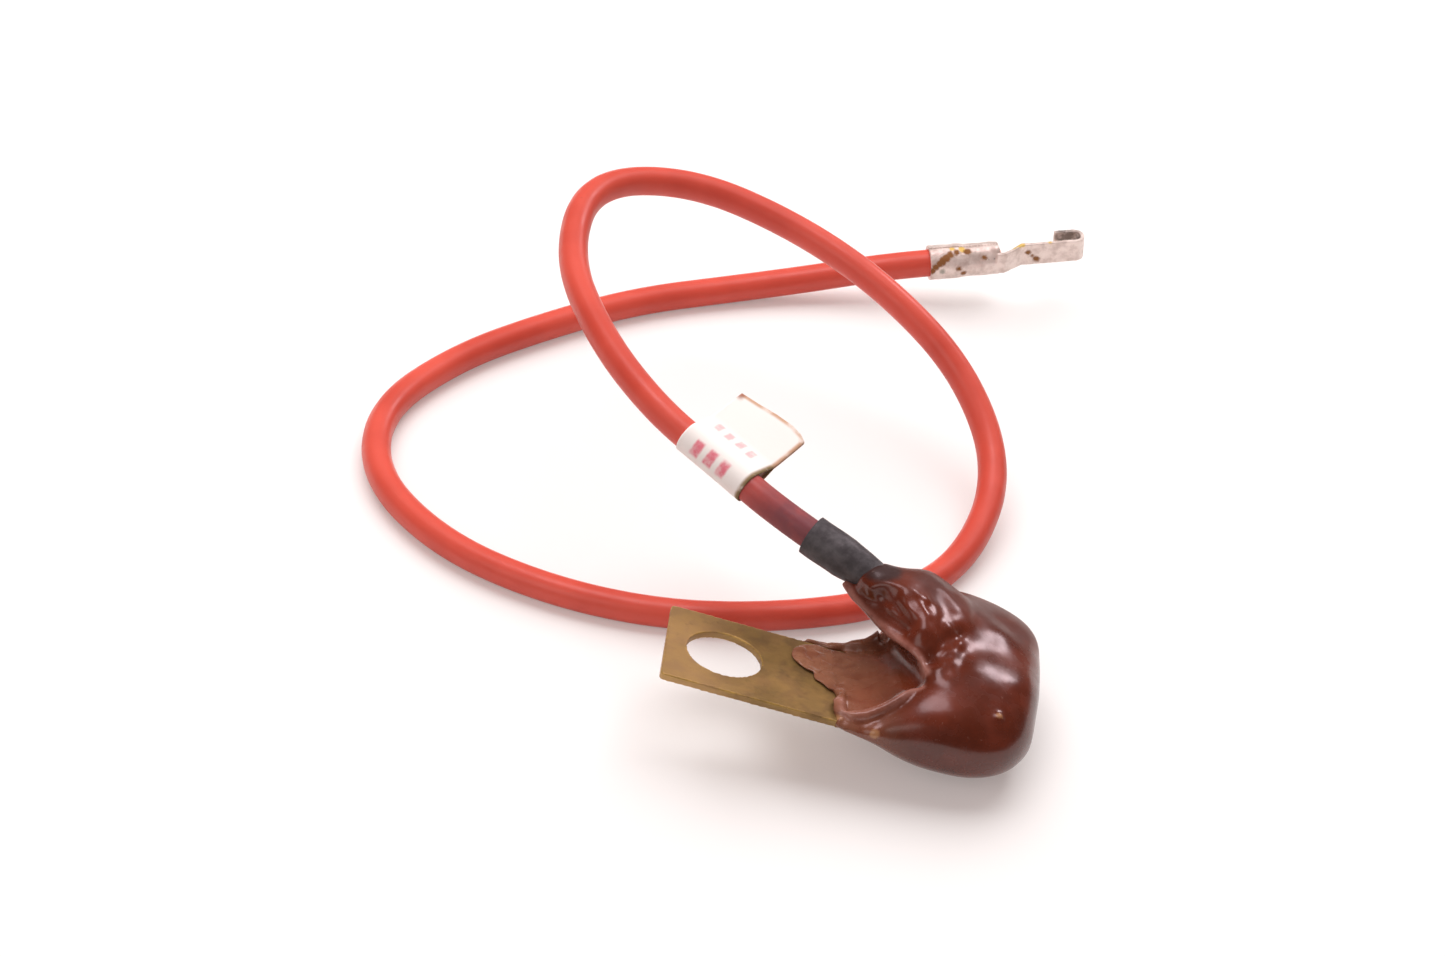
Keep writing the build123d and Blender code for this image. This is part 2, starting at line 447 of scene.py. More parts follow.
@dataclass(frozen=True)
class CopperStrand:
    """Bare copper of the core, partly tinned."""

    copper: Colour = srgb(206, 132, 92)
    tin: Colour = srgb(196, 186, 176)
    tinned: Mottle = Mottle(0.8, 0.35, 0.6)
    gloss: Mottle = Mottle(0.5, 0.3, 0.7, 0.25, 0.45)
    relief: Relief = Relief(((0.3, 3.0, 0.5, 1.0),), 0.03)

    def material(self) -> bpy.types.Material:
        """Build the finish.

        Returns:
            The material.
        """
        g = Graph(bpy.data.materials.new("copper_core"))
        colour = g.mix(self.tinned.on(g), self.copper, self.tin)
        return g.finish(Base_Color=colour, Metallic=1.0, Roughness=self.gloss.on(g), Normal=self.relief.on(g))


@dataclass(frozen=True)
class TinnedBrass:
    """Tin plate over brass, stained by flux, with bare cut edges and painted shade inside the hook."""

    tin: Colour = srgb(248, 232, 224)
    dull: Colour = srgb(200, 178, 168)
    flux: Colour = srgb(138, 82, 0)
    bare: Colour = srgb(236, 200, 96)
    # dark: painted shade inside the hook, and the small dark specks
    dark: Colour = srgb(92, 84, 78)
    green: Colour = srgb(142, 142, 128)
    cloud: Mottle = Mottle(1.1, 0.35, 0.68, most=0.7, detail=5.0, rough=0.6)
    pits: Mottle = Mottle(0.22, 0.66, 0.74, most=0.5, rough=0.6)
    stains: Patches = Patches((
        ((4.6, 65.1, 4.2), 0.5), ((4.9, 65.3, 4.6), 0.5), ((5.2, 65.5, 4.95), 0.52),
        ((5.5, 65.7, 5.2), 0.58), ((5.85, 66.0, 5.4), 0.6), ((6.2, 66.4, 5.6), 0.55),
        ((6.8, 66.7, 5.85), 0.5), ((7.9, 67.0, 5.9), 0.52), ((7.3, 65.8, 4.5), 0.42),
        ((7.8, 65.9, 3.9), 0.44), ((9.7, 66.8, 5.6), 0.4), ((14.2, 68.6, 5.8), 0.42),
        ((14.7, 68.7, 5.4), 0.32), ((15.2, 68.8, 5.0), 0.5),
    ), 0.3, 0.28)
    stain_share: float = 0.95
    stain_dulls: float = 0.3
    bare_edges: Patches = Patches((
        ((11.6, 67.9, 5.9), 0.45), ((12.1, 68.0, 6.15), 0.45), ((12.6, 68.2, 6.4), 0.45),
        ((13.1, 68.4, 6.65), 0.45), ((13.5, 68.5, 6.75), 0.4), ((7.3, 67.1, 6.1), 0.5),
        ((6.3, 67.0, 6.05), 0.4), ((16.3, 69.2, 7.0), 0.3),
    ), 0.25, 0.2, 0.9)
    specks: Patches = Patches((
        ((10.2, 66.9, 5.35), 0.2), ((10.5, 66.9, 5.0), 0.22), ((10.0, 66.8, 4.7), 0.2),
        ((10.75, 67.0, 5.5), 0.18), ((9.7, 66.85, 5.25), 0.14),
    ), 0.08, 0.1, 0.8)
    # Painted shade and painted dark reflection on the inner face of the hook's back leg
    shade: Patches = Patches(
        (((17.5, 71.3, 6.7), 1.0), ((18.3, 71.5, 6.6), 1.0), ((19.1, 71.3, 6.6), 1.0)), 0.5, 0.2, 0.85
    )
    shade_blots: Mottle = Mottle(0.6, 0.3, 0.55, 0.6)
    green_spot: Patches = Patches((((5.6, 65.5, 4.1), 0.45),), 0.3, 0.2, 0.8)
    metal: float = 0.4
    gloss: Mottle = Mottle(0.7, 0.25, 0.75, 0.3, 0.52, detail=4.0)
    relief: Relief = Relief(((0.5, 5.0, 0.6, 0.7), (1.9, 2.0, 0.5, 1.0)), 0.09, 0.9)

    def material(self) -> bpy.types.Material:
        """Build the finish.

        Returns:
            The material.
        """
        g = Graph(bpy.data.materials.new("tinned_brass"))
        flux = self.stains.on(g)
        layers = (
            (self.pits.on(g), self.dull),
            (self.green_spot.on(g), self.green),
            # painted shade inside the hook
            (self.shade.on(g) * self.shade_blots.on(g), self.dark),
            (self.bare_edges.on(g), self.bare),
            (self.specks.on(g), self.dark),
            (flux * self.stain_share, self.flux),
        )
        colour = g.mix(self.cloud.on(g), self.tin, self.dull)
        for share, over in layers:
            colour = g.mix(share, colour, over)
        return g.finish(
            Base_Color=colour, Metallic=(self.metal - flux * self.metal).held(),
            Roughness=self.gloss.on(g) + flux * self.stain_dulls, Normal=self.relief.on(g),
        )


@dataclass(frozen=True)
class SolderTin:
    """Dull solder."""

    light: Colour = srgb(196, 190, 184)
    dark: Colour = srgb(140, 132, 124)
    cloud: Mottle = Mottle(0.6, 0.35, 0.65, detail=4.0)
    gloss: Mottle = Mottle(0.4, 0.3, 0.7, 0.28, 0.5)
    relief: Relief = Relief(((0.5, 3.0, 0.5, 1.0),), 0.06)

    def material(self) -> bpy.types.Material:
        """Build the finish.

        Returns:
            The material.
        """
        g = Graph(bpy.data.materials.new("solder"))
        colour = g.mix(self.cloud.on(g), self.light, self.dark)
        return g.finish(Base_Color=colour, Metallic=1.0, Roughness=self.gloss.on(g), Normal=self.relief.on(g))


@dataclass(frozen=True)
class FlagPaper:
    """White paper with plain red marks, brown at its rim and a corner, dirty at the edge next to the fuse."""

    white: Colour = srgb(250, 244, 240)
    ink: Colour = srgb(228, 52, 96)
    edge: Colour = srgb(190, 130, 78)
    dirt: Colour = srgb(112, 98, 58)
    corner: Colour = srgb(158, 88, 60)
    bold: Marks = Marks(((1.9, -1.3), (3.5, -1.2), (5.0, -1.25)), 0.6, 0.95, 0.8)
    pale: Marks = Marks(((1.5, 2.7), (2.8, 2.6), (4.1, 2.7), (5.4, 2.6)), 0.45, 0.75, 0.42)
    wobble_size: float = 0.8
    wobble: float = 0.3
    worn_ink: Mottle = Mottle(0.7, 0.3, 0.6, 0.55)
    rim_band: tuple[float, float] = (0.16, 0.5)
    rim_blots: Mottle = Mottle(1.6, 0.25, 0.5, 0.35)
    rim_share: float = 0.8
    corner_u: tuple[float, float] = (0.2, 0.8)
    corner_v: tuple[float, float] = (6.6, 7.3)
    corner_share: float = 0.8
    dirt_u: tuple[float, float] = (7.0, 7.5)
    dirt_v: tuple[float, float] = (3.0, 4.2)
    dirt_blots: Mottle = Mottle(0.8, 0.3, 0.55, 0.4)
    dirt_share: float = 0.85
    relief: Relief = Relief(((0.35, 4.0, 0.6, 0.4), (2.4, 2.0, 0.5, 1.0)), 0.04, 0.6)

    def material(self) -> bpy.types.Material:
        """Build the finish.

        Returns:
            The material.
        """
        g = Graph(bpy.data.materials.new("white_paper"))
        u, v, rim = g.attribute("flag_u"), g.attribute("flag_v"), g.attribute("flag_rim")
        shift = (g.noise(self.wobble_size, detail=2.0) - 0.5) * self.wobble
        ink = self.bold.on(u + shift, v + shift).over(self.pale.on(u + shift, v + shift))
        brown = rim.step(*self.rim_band, self.rim_share, 0.0) * self.rim_blots.on(g)
        corner = u.step(*self.corner_u, self.corner_share, 0.0) * v.step(*self.corner_v)
        grime = u.step(*self.dirt_u) * v.step(*self.dirt_v, self.dirt_share, 0.0) * self.dirt_blots.on(g)
        colour = g.mix(ink * self.worn_ink.on(g), self.white, self.ink)
        for share, over in ((brown, self.edge), (corner, self.corner), (grime, self.dirt)):
            colour = g.mix(share, colour, over)
        return g.finish(Base_Color=colour, Roughness=0.82, Normal=self.relief.on(g))


@dataclass(frozen=True)
class ShrinkPlastic:
    """Half-matt black shrink tube."""

    black: Colour = srgb(58, 53, 56)
    dusty: Colour = srgb(94, 89, 92)
    dust: Mottle = Mottle(1.4, 0.35, 0.75, most=0.7, detail=4.0, rough=0.6)
    gloss: Mottle = Mottle(1.0, 0.3, 0.7, 0.42, 0.58)
    relief: Relief = Relief(((0.9, 4.0, 0.6, 1.0), (3.0, 2.0, 0.5, 1.0)), 0.08, 0.7)

    def material(self) -> bpy.types.Material:
        """Build the finish.

        Returns:
            The material.
        """
        g = Graph(bpy.data.materials.new("black_shrink"))
        colour = g.mix(self.dust.on(g), self.black, self.dusty)
        return g.finish(Base_Color=colour, Roughness=self.gloss.on(g), IOR=1.48, Normal=self.relief.on(g))


@dataclass(frozen=True)
class BrownLacquer:
    """Thick glossy red-brown lacquer, thin and paler over the lug, with a paler line along the fin and lip
    that is partly thin lacquer and partly a painted highlight, and a darker patch next to the sleeve.
    """

    deep: Colour = srgb(84, 29, 9)
    body: Colour = srgb(108, 42, 22)
    thin: Colour = srgb(158, 108, 82)
    # A darker patch on the neck where it meets the sleeve's end
    dark_by_sleeve: Colour = srgb(48, 36, 36)
    # rim: paler line along the fin and lip, partly thin lacquer and partly a painted highlight
    rim: Colour = srgb(184, 128, 116)
    tan: Colour = srgb(178, 128, 88)
    dusty: Colour = srgb(168, 130, 116)
    cloud: Mottle = Mottle(4.5, 0.35, 0.7, detail=4.0, rough=0.55)
    thin_blots: Mottle = Mottle(1.2, 0.25, 0.6, 0.55)
    rim_blots: Mottle = Mottle(0.9, 0.25, 0.55, 0.45)
    rim_share: float = 0.55
    tan_spots: Patches = Patches(
        (((12.6, -7.7, 8.0), 0.42), ((2.1, -10.5, 6.5), 0.55), ((-1.1, -9.5, 6.6), 0.7)), 0.25, 0.2, 0.8
    )
    sleeve_end_dark_patch: Patches = Patches((((1.2, 4.4, 12.9), 2.1),), 0.8, 0.4, 0.8)
    dust: Mottle = Mottle(0.45, 0.62, 0.78, detail=4.0, rough=0.65)
    dust_share: float = 0.2
    dust_dulls: float = 0.1
    back: Fade = Fade((8.0, 2.0, 10.4), (0.2, 0.8, 0.57), 0.0, 2.0, most=0.25)
    gloss: Mottle = Mottle(1.6, 0.3, 0.75, 0.22, 0.32)
    relief: Relief = Relief(((1.4, 3.0, 0.5, 0.8), (0.5, 2.0, 0.5, 0.12)), 0.03, 0.6)

    def material(self) -> bpy.types.Material:
        """Build the finish, which is duller on the body's far side.

        Returns:
            The material.
        """
        g = Graph(bpy.data.materials.new("brown_lacquer"))
        dust = self.dust.on(g)
        layers = (
            ((g.attribute("thin") * self.thin_blots.on(g)).held(), self.thin),
            # the fin and lip's paler line, partly a painted highlight
            (g.attribute("rim") * self.rim_blots.on(g) * self.rim_share, self.rim),
            (self.tan_spots.on(g), self.tan),
            # the darker patch next to the sleeve's end
            (self.sleeve_end_dark_patch.on(g), self.dark_by_sleeve),
            (dust * self.dust_share, self.dusty),
        )
        colour = g.mix(self.cloud.on(g), self.deep, self.body)
        for share, over in layers:
            colour = g.mix(share, colour, over)
        return g.finish(
            Base_Color=colour, Roughness=self.gloss.on(g) + dust * self.dust_dulls + self.back.on(g),
            IOR=1.5, Normal=self.relief.on(g), Coat_Weight=0.2, Coat_Roughness=0.14,
        )


@dataclass(frozen=True)
class TarnishedBrass:
    """Brass strip gone dull ochre, brighter along its edges."""

    dull: Colour = srgb(128, 101, 64)
    warm: Colour = srgb(158, 123, 76)
    dark: Colour = srgb(104, 78, 50)
    bright: Colour = srgb(216, 176, 94)
    pale: Colour = srgb(190, 152, 104)
    cloud: Mottle = Mottle(4.0, 0.35, 0.7, detail=5.0, rough=0.6)
    pale_end: Fade = Fade((-10.0, -4.0, 7.3), (-0.98, -0.1, 0.17), -1.5, 4.5, most=0.7)
    tarnish: Mottle = Mottle(1.1, 0.58, 0.78, most=0.6, detail=5.0, rough=0.7)
    edge_blots: Mottle = Mottle(1.5, 0.35, 0.6, detail=4.0)
    edge_share: float = 0.8
    edge_shines: float = 0.14
    gloss: Mottle = Mottle(2.2, 0.3, 0.7, 0.42, 0.58, detail=4.0)
    relief: Relief = Relief(((0.7, 5.0, 0.6, 0.6), (5.0, 2.0, 0.5, 1.0)), 0.04, 0.6)

    def material(self) -> bpy.types.Material:
        """Build the finish.

        Returns:
            The material.
        """
        g = Graph(bpy.data.materials.new("tarnished_brass"))
        # brighter and glossier along the strip's edges
        bright_edge = g.attribute("edge") * self.edge_blots.on(g)
        colour = g.mix(self.cloud.on(g), self.dull, self.warm)
        colour = g.mix(self.pale_end.on(g), colour, self.pale)
        colour = g.mix(self.tarnish.on(g), colour, self.dark)
        colour = g.mix(bright_edge * self.edge_share, colour, self.bright)
        rough = self.gloss.on(g) - bright_edge * self.edge_shines
        return g.finish(Base_Color=colour, Metallic=0.55, Roughness=rough, Normal=self.relief.on(g))


@dataclass(frozen=True)
class LinkAlloy:
    """Drawn fuse wire."""

    grey: Colour = srgb(178, 176, 172)
    gloss: Mottle = Mottle(0.6, 0.3, 0.7, 0.25, 0.4)

    def material(self) -> bpy.types.Material:
        """Build the finish."""
        g = Graph(bpy.data.materials.new("fuse_alloy"))
        return g.finish(Base_Color=self.grey, Metallic=1.0, Roughness=self.gloss.on(g))


@dataclass(frozen=True)
class TableTop:
    """Smooth white table, which keeps the lead's soft shadow."""

    white: Colour = (0.72, 0.71, 0.71, 1.0)
    glow: Colour = (1.0, 0.92, 0.89, 1.0)
    lift: float = 0.25

    def material(self) -> bpy.types.Material:
        """Build the finish, which looks brighter to the camera and in reflections.

        Returns:
            The material.
        """
        g = Graph(bpy.data.materials.new("table_top"))
        shown = reduce(Sock.over, [g.is_ray(kind) for kind in Ray])
        plain = g.add("ShaderNodeBsdfDiffuse", None, {"Color": self.white})
        glow = g.add("ShaderNodeEmission", None, {"Color": self.glow, "Strength": self.lift})
        lifted = g.add("ShaderNodeAddShader", None, {0: plain, 1: glow})
        surface = g.add("ShaderNodeMixShader", None, {"Fac": shown, 1: plain, 2: lifted})
        g.add("ShaderNodeOutputMaterial", None, {"Surface": surface})
        return g.owner


def add_object(name: str, data: bpy.types.ID) -> bpy.types.Object:
    """Put new data in the scene.

    Args:
        name: The object's name.
        data: Its mesh, curve or light.

    Returns:
        The object.
    """
    piece = bpy.data.objects.new(name, data)
    bpy.context.scene.collection.objects.link(piece)
    return piece


def mesh_piece(name: str, points: list[Vector], faces: Faces) -> bpy.types.Object:
    """Make a smooth-shaded mesh object.

    Args:
        name: The object's name.
        points: Its vertices, in metres.
        faces: Its faces, as lists of vertex numbers.

    Returns:
        The object.
    """
    mesh = bpy.data.meshes.new(name)
    mesh.from_pydata([tuple(point) for point in points], [], faces)
    mesh.update()
    mesh.shade_smooth()
    return add_object(name, mesh)


def paint(piece: bpy.types.Object, material: bpy.types.Material) -> None:
    """Make a material the piece's only one."""
    piece.data.materials.clear()
    piece.data.materials.append(material)


def dress(piece: bpy.types.Object, material: bpy.types.Material, slot: str) -> None:
    """Give a new piece its finish and fix it to the part.

    Args:
        piece: The new piece.
        material: Its finish.
        slot: The record's slot that the finish stands for.
    """
    paint(piece, material)
    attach(piece, "root")
    log.info("%s dressed as %s", piece.name, slot)


def bake_modifiers(piece: bpy.types.Object) -> None:
    """Turn a piece's modifiers into its own mesh.

    Args:
        piece: The piece.
    """
    bpy.context.view_layer.update()
    graph = bpy.context.evaluated_depsgraph_get()
    baked = bpy.data.meshes.new_from_object(piece.evaluated_get(graph))
    piece.modifiers.clear()
    piece.data = baked
    piece.data.shade_smooth()


def solid_copy(
    node: str, name: str, drop_near: tuple[str, ...] = (), reach: float = 0.03 * MM
) -> bpy.types.Object:
    """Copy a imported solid's outer skin as one closed mesh.

    Args:
        node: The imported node.
        name: The copy's name.
        drop_near: Nodes whose touching walls are left out, so that the copy is closed over them.
        reach: How near a wall lies to count as touching, in metres.

    Returns:
        The copy.
    """
    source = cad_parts[node].data
    shell = bmesh.new()
    shell.from_mesh(source)
    bmesh.ops.remove_doubles(shell, verts=shell.verts, dist=WELD)
    for other in drop_near:
        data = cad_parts[other].data
        tree = BVHTree.FromPolygons([v.co for v in data.vertices], [tuple(p.vertices) for p in data.polygons])
        walls = [
            face for face in shell.faces
            if tree.find_nearest(face.calc_center_median(), reach)[0] is not None
        ]
        bmesh.ops.delete(shell, geom=walls, context="FACES")
    rims = [edge for edge in shell.edges if edge.is_boundary]
    if rims:
        bmesh.ops.holes_fill(shell, edges=rims, sides=0)
    bmesh.ops.triangulate(shell, faces=shell.faces)
    bmesh.ops.recalc_face_normals(shell, faces=shell.faces)
    mesh = bpy.data.meshes.new(name)
    shell.to_mesh(mesh)
    shell.free()
    return add_object(name, mesh)


def join_into(piece: bpy.types.Object, points: list[Vector], faces: Faces) -> None:
    """Add a second closed shell to a piece's mesh, to be fused with it by its remesh.

    Args:
        piece: The piece.
        points: The shell's vertices.
        faces: Its faces.
    """
    shell = bmesh.new()
    shell.from_mesh(piece.data)
    made = [shell.verts.new(point) for point in points]
    fresh = [shell.faces.new([made[i] for i in face]) for face in faces]
    bmesh.ops.recalc_face_normals(shell, faces=fresh)
    shell.to_mesh(piece.data)
    shell.free()


def remesh(piece: bpy.types.Object, voxel: float, smoothing: int) -> None:
    """Fuse a piece's shells into one even skin and soften it.

    Args:
        piece: The piece.
        voxel: The size of the skin's faces, in metres.
        smoothing: How many rounds of smoothing it gets.
    """
    skin = piece.modifiers.new("skin", "REMESH")
    skin.mode = "VOXEL"
    skin.voxel_size = voxel
    skin.adaptivity = 0.0
    bake_modifiers(piece)
    soften(piece, smoothing)


def soften(piece: bpy.types.Object, rounds: int, weights: np.ndarray | None = None) -> None:
    """Smooth a piece, all over or in part.

    Args:
        piece: The piece.
        rounds: How many rounds of smoothing there are.
        weights: How strongly each vertex is smoothed, 0 to 1, where it isn't all over.
    """
    smooth = piece.modifiers.new("smooth", "SMOOTH")
    smooth.factor = 0.5
    smooth.iterations = rounds
    if weights is not None:
        group = piece.vertex_groups.new(name="soft")
        for index in np.nonzero(weights > LEAST_WEIGHT)[0]:
            group.add([int(index)], float(weights[index]), "REPLACE")
        smooth.vertex_group = group.name
    bake_modifiers(piece)
    piece.vertex_groups.clear()


def read_points(piece: bpy.types.Object) -> tuple[np.ndarray, np.ndarray]:
    """A mesh's vertices and normals.

    Args:
        piece: The piece.

    Returns:
        Vertices in millimetres and unit normals, one row each.
    """
    mesh = piece.data
    places = np.empty(len(mesh.vertices) * 3)
    mesh.vertices.foreach_get("co", places)
    normals = np.empty(len(mesh.vertices) * 3)
    mesh.vertex_normals.foreach_get("vector", normals)
    return places.reshape(-1, 3) / MM, normals.reshape(-1, 3)


def write_points(piece: bpy.types.Object, places: np.ndarray) -> None:
    """Put vertices back, given in millimetres."""
    piece.data.vertices.foreach_set("co", (places * MM).ravel())
    piece.data.update()


def write_value(piece: bpy.types.Object, name: str, values: np.ndarray) -> None:
    """Store one number for each vertex under a name."""
    layer = piece.data.attributes.new(name, "FLOAT", "POINT")
    layer.data.foreach_set("value", values.astype(np.float32))


def run_share(places: np.ndarray, line: Line) -> np.ndarray:
    """How far along a straight run each place lies.

    Args:
        places: Places, one row each.
        line: The run's two ends.

    Returns:
        0 at the first end and before it, 1 at the second and past it.
    """
    first, second = np.array(line)
    run = second - first
    return np.clip((places - first) @ run / (run @ run), 0, 1)


def line_distance(places: np.ndarray, line: Line) -> np.ndarray:
    """How far each place lies from a line of straight runs.

    Args:
        places: Places, one row each.
        line: The line's points.

    Returns:
        The distances.
    """
    nearest = np.full(len(places), np.inf)
    for ends in zip(line[:-1], line[1:]):
        first, second = np.array(ends)
        foot = first + run_share(places, ends)[:, None] * (second - first)
        nearest = np.minimum(nearest, np.linalg.norm(places - foot, axis=1))
    return nearest


def bell(gaps: np.ndarray, width: float) -> np.ndarray:
    """1 at no gap, falling away smoothly over the width."""
    return np.exp(-((gaps / width) ** 2))


def spot_bell(places: np.ndarray, centre: Point, radius: float) -> np.ndarray:
    """A bell round one point, at each place."""
    return bell(np.linalg.norm(places - np.array(centre), axis=1), radius)


def cloud(places: np.ndarray, size: float, seed: float) -> np.ndarray:
    """Smooth noise at each place, about -1 to 1.

    Args:
        places: Places in millimetres.
        size: The size of its blots in millimetres.
        seed: A shift that makes it differ from another cloud.

    Returns:
        The noise values.
    """
    shift = Vector((seed, seed * 0.7, -seed))
    return np.array([noise.noise(Vector(place) / size + shift) for place in places])


def ripples(places: np.ndarray, waves: Waves) -> np.ndarray:
    """The heights of several clouds added up, at each place."""
    return sum(height * cloud(places, size, seed) for size, seed, height in waves)


def ring_faces(rings: int, sides: int) -> Faces:
    """Faces between rings of vertices.

    Args:
        rings: How many rings there are.
        sides: How many vertices a ring has.

    Returns:
        The faces.
    """
    faces = []
    for ring in range(rings - 1):
        for side in range(sides):
            after = (side + 1) % sides
            low, high = ring * sides, (ring + 1) * sides
            faces.append([low + side, low + after, high + after, high + side])
    return faces


def rod_shell(line: Line, radii: tuple[float, ...], sides: int = 14) -> Shell:
    """A closed tapering rod along a line.

    Args:
        line: The line's points, in millimetres.
        radii: The radius at each point, in millimetres.
        sides: How many sides it has.

    Returns:
        Its vertices in metres and its faces.
    """
    points: list[Vector] = []
    spine = [Vector(point) for point in line]
    for i, (centre, radius) in enumerate(zip(spine, radii)):
        way = (spine[min(i + 1, len(spine) - 1)] - spine[max(i - 1, 0)]).normalized()
        side = way.cross(UP).normalized()
        rise = side.cross(way)
        for step in range(sides):
            angle = 2 * math.pi * step / sides
            points.append((centre + side * radius * math.cos(angle) + rise * radius * math.sin(angle)) * MM)
    faces = ring_faces(len(spine), sides)
    faces.append(list(range(sides)))
    faces.append(list(range(len(points) - sides, len(points))))
    return points, faces


def web_shell(edge: Line, root: Line, thick: float) -> Shell:
    """A closed thin web between two lines.

    Args:
        edge: The web's free edge, in millimetres.
        root: The line that it grows from, with as many points.
        thick: Its thickness, in millimetres.

    Returns:
        Its vertices in metres and its faces.
    """
    points: list[Vector] = []
    for i, (tip, foot) in enumerate(zip(edge, root)):
        tip, foot = Vector(tip), Vector(foot)
        along = Vector(edge[min(i + 1, len(edge) - 1)]) - Vector(edge[max(i - 1, 0)])
        flat = (tip - foot).cross(along).normalized() * thick / 2
        points += [(tip + flat) * MM, (foot + flat) * MM, (foot - flat) * MM, (tip - flat) * MM]
    faces = ring_faces(len(edge), 4)
    faces.append([3, 2, 1, 0])
    faces.append(list(range(len(points) - 4, len(points))))
    return points, faces


class WirePath:
    """The smooth line that the wire follows, and places along it."""

    def __init__(self, points: Line) -> None:
        """Read the line from a spline through the route.

        Args:
            points: The route, in metres.
        """
        line = self.spline("wire_line", points)
        bpy.context.view_layer.update()
        graph = bpy.context.evaluated_depsgraph_get()
        mesh = bpy.data.meshes.new_from_object(line.evaluated_get(graph))
        self.points = [vertex.co.copy() for vertex in mesh.vertices]
        bpy.data.meshes.remove(mesh)
        bpy.data.objects.remove(line)
        self.ways: list[Vector] = []
        self.reach = [0.0]
        for before, after in zip(self.points, self.points[1:]):
            self.ways.append((after - before).normalized())
            self.reach.append(self.reach[-1] + (after - before).length)
        self.length = self.reach[-1]

    @staticmethod
    def spline(name: str, points: Line) -> bpy.types.Object:
        """A curve object with one open spline along the route.

        Args:
            name: The object's name.
            points: The spline's control points, in metres.

        Returns:
            The curve object.
        """
        data = bpy.data.curves.new(name, "CURVE")
        data.dimensions = "3D"
        data.resolution_u = 20
        line = data.splines.new("NURBS")
        line.points.add(len(points) - 1)
        for place, point in zip(line.points, points):
            place.co = (*point, 1.0)
        line.order_u = 3
        line.use_endpoint_u = True
        return add_object(name, data)

    def at(self, distance: float) -> tuple[Vector, Vector]:
        """The place and the direction at a distance along the line.

        Args:
            distance: Metres from the terminal's end; past an end it runs straight on.

        Returns:
            The place and the unit direction.
        """
        if distance <= 0:
            return self.points[0] + self.ways[0] * distance, self.ways[0]
        if distance >= self.length:
            return self.points[-1] + self.ways[-1] * (distance - self.length), self.ways[-1]
        i = max(int(np.searchsorted(self.reach, distance)) - 1, 0)
        run = self.points[i + 1] - self.points[i]
        share = (distance - self.reach[i]) / run.length
        before, after = self.ways[max(i - 1, 0)], self.ways[min(i + 1, len(self.ways) - 1)]
        way = (before * (1 - share) + self.ways[i] + after * share).normalized()
        return self.points[i] + run * share, way

    def ring(self, distance: float, outline: list[tuple[float, float]]) -> list[Vector]:
        """A flat ring across the line.

        Args:
            distance: Where along the line, in metres.
            outline: Pairs across (level) and upward, in metres.

        Returns:
            The ring's points.
        """
        centre, way = self.at(distance)
        side = UP.cross(way).normalized()
        rise = way.cross(side)
        return [centre + side * across + rise * upward for across, upward in outline]


@dataclass
class WireLead:
    """The insulated wire and its stranded core."""

    jacket_d: float = 2.8 * MM
    core_d: float = 1.8 * MM
    bare_at_terminal: float = 4.6 * MM
    bare_at_fuse: float = 6.5 * MM
    strands: int = 12
    lay_length: float = 14 * MM
    sides_per_strand: int = 4
    core_rings: int = 360
    valley: float = 0.9
    crown: float = 0.09
    route_mm: Line = (
        (7.0, 67.5, 4.3), (0.5, 66.0, 3.6), (-7.0, 64.0, 2.2), (-15.5, 61.0, 1.4), (-25.0, 56.5, 1.4),
        (-33.5, 50.0, 1.4), (-41.5, 42.5, 1.4), (-47.5, 32.5, 1.4), (-46.5, 22.0, 1.4), (-39.0, 13.5, 1.4),
        (-29.0, 9.0, 1.4), (-18.0, 7.5, 1.4), (-7.0, 9.5, 1.4), (3.5, 14.0, 1.4), (10.0, 22.0, 1.4),
        (12.5, 33.0, 3.8), (8.0, 41.5, 8.8), (-0.5, 46.5, 13.8), (-10.0, 51.0, 16.6), (-21.0, 52.5, 19.3),
        (-30.5, 47.0, 21.0), (-31.3, 35.5, 19.8), (-26.6, 25.0, 18.4), (-20.5, 17.5, 16.8),
        (-14.5, 13.5, 15.2), (-8.0, 9.0, 13.4), (-2.2, 6.2, 12.0),
    )

    def path(self) -> WirePath:
        """The wire's centreline."""
        return WirePath(self.route())

    def route(self) -> Line:
        """The route in metres."""
        return tuple((x * MM, y * MM, z * MM) for x, y, z in self.route_mm)

    def build_jacket(self) -> bpy.types.Object:
        """Lay the jacket as a bevelled spline.

        Returns:
            The jacket.
        """
        jacket = WirePath.spline("wire_jacket_skin", self.route())
        jacket.data.bevel_depth = self.jacket_d / 2
        jacket.data.bevel_resolution = 8
        jacket.data.use_fill_caps = True
        for spline in jacket.data.splines:
            spline.use_smooth = True
        dress(jacket, RedInsulation().material(), "red_insulation")
        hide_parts("wire_jacket")
        return jacket

    def build_core(self, path: WirePath) -> bpy.types.Object:
        """Twist the stranded core through the jacket, bare at both ends.

        Args:
            path: The wire's centreline.

        Returns:
            The core.
        """
        sides = self.strands * self.sides_per_strand
        start, end = -self.bare_at_terminal, path.length + self.bare_at_fuse
        points: list[Vector] = []
        for ring in range(self.core_rings):
            distance = start + (end - start) * ring / (self.core_rings - 1)
            twist = 2 * math.pi * distance / self.lay_length
            outline = []
            for side in range(sides):
                angle = 2 * math.pi * side / sides
                lobe = abs(math.cos(self.strands * angle / 2))
                radius = self.core_d / 2 * (self.valley + self.crown * lobe)
                outline.append((radius * math.cos(angle + twist), radius * math.sin(angle + twist)))
            points += path.ring(distance, outline)
        faces = ring_faces(self.core_rings, sides)
        faces.append(list(range(sides))[::-1])
        faces.append(list(range(len(points) - sides, len(points))))
        core = mesh_piece("wire_core_strands", points, faces)
        dress(core, CopperStrand().material(), "copper_core")
        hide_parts("wire_conductor")
        return core


